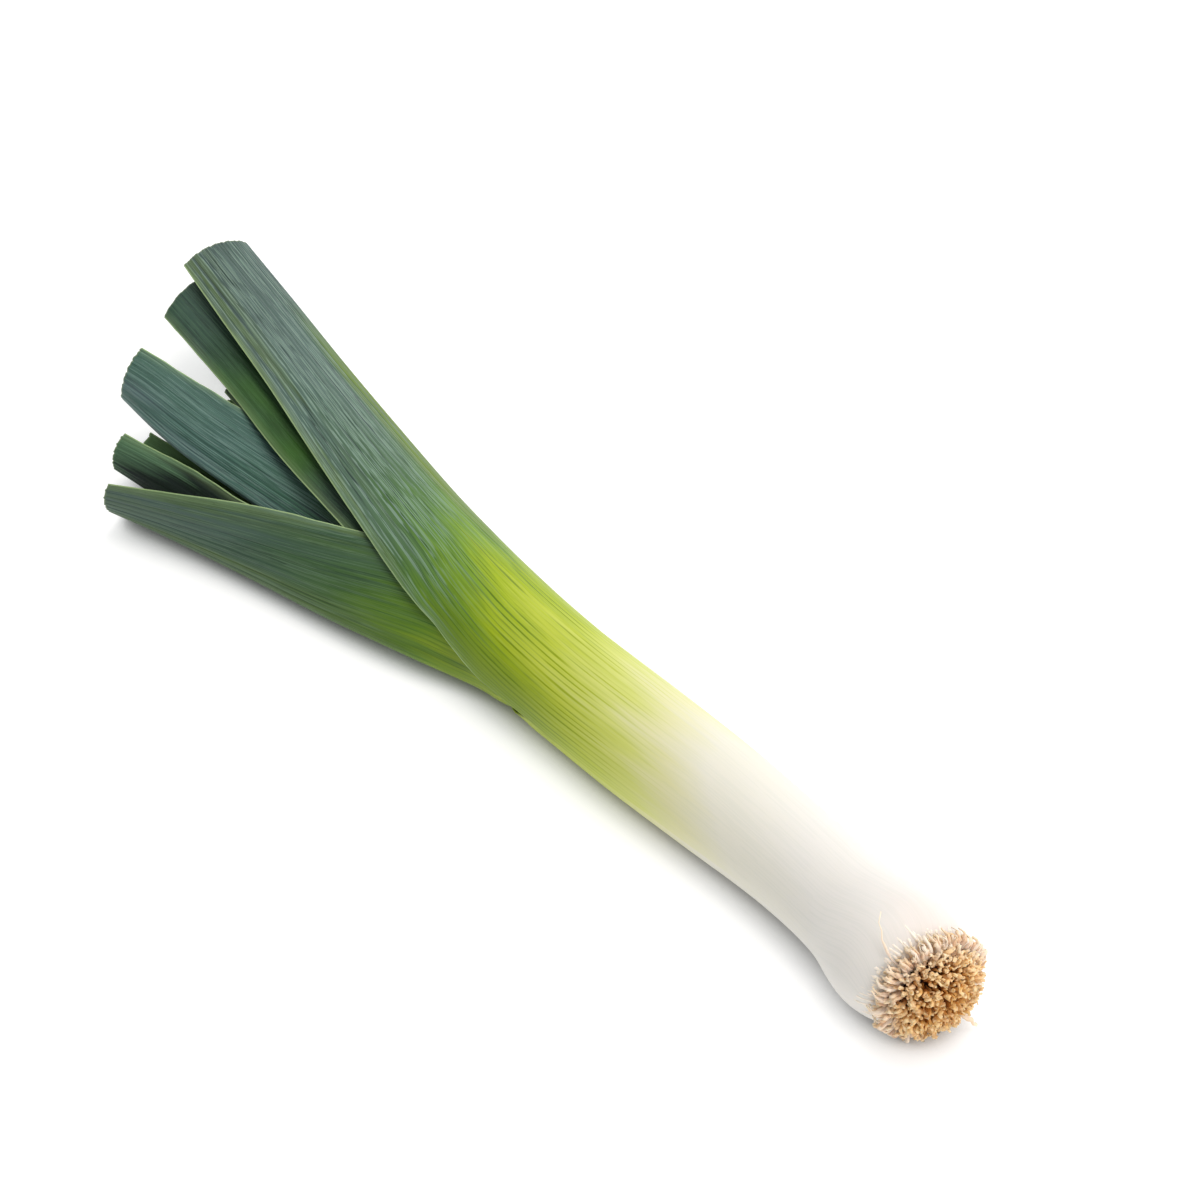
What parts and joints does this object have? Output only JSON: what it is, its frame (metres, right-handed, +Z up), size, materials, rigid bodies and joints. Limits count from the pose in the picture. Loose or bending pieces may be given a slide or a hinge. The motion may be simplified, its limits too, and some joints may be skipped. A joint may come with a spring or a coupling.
{
  "type": "leek",
  "caption": "Whole trimmed leek lying on its side: white shank with a bulb end, a fan of folded green leaves cut across at the tips, and a dense tuft of short roots.",
  "frame": {"origin": "under the middle of the whole leek's box, on the surface that it lies on", "axes": "+X towards the roots, along the leek, with the leaf tips at -X; +Y towards the side to which the outermost leaf bends; +Z up"},
  "size_m": [0.4546, 0.1229, 0.0416],
  "materials": {
    "shank_skin": "smooth waxy leaf skin, white at the bulb, through lime green to blue-green at the blade, with fine lengthways veins",
    "leaf_green": "satin leaf skin with fine lengthways veins and a pale margin",
    "leaf_dark_green": "satin dark leaf skin with fine lengthways veins and a pale margin",
    "leaf_blue_green": "leaf skin under a blue-grey wax bloom, with fine lengthways veins",
    "dried_root": "dull, dry, straw-coloured root stubs, cream at the tips and brown between them"
  },
  "bodies": {
    "root": {"shank": "shank_skin", "leaf_left_outer": "leaf_green", "leaf_right_inner": "leaf_dark_green", "leaf_left_middle": "leaf_dark_green", "leaf_left_inner": "leaf_blue_green", "leaf_heart": "leaf_green", "root_tuft": "dried_root"}
  },
  "joints": []
}
